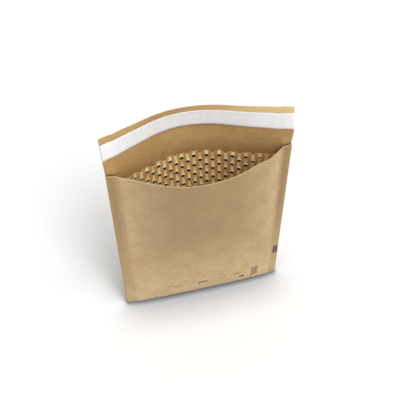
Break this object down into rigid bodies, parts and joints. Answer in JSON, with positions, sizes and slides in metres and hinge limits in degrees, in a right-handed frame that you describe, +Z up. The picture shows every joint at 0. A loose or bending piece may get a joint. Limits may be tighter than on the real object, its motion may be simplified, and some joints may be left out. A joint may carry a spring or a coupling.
{
  "type": "padded envelope",
  "caption": "Kraft paper padded envelope standing open, with an expanded slit-paper lining and a self-seal flap.",
  "frame": {"origin": "middle of the flat spot of the bottom fold, on the surface that the envelope stands on", "axes": "+X along the bottom fold to the right seen from the front, +Y from the front panel to the back panel, +Z up to the flap"},
  "size_m": [0.24, 0.0871, 0.3234],
  "materials": {
    "kraft_paper": "matt brown kraft paper with faint fibres",
    "lining_paper": "matt brown kraft paper, slit and pulled open",
    "hot_melt": "cream hot melt adhesive",
    "release_paper": "smooth white coated paper"
  },
  "bodies": {
    "root": {"outer_envelope": "kraft_paper", "honeycomb_lining": "lining_paper", "flap_adhesive": "hot_melt", "release_liner": "release_paper", "left_seam_glue": "hot_melt", "right_seam_glue": "hot_melt"}
  },
  "joints": []
}
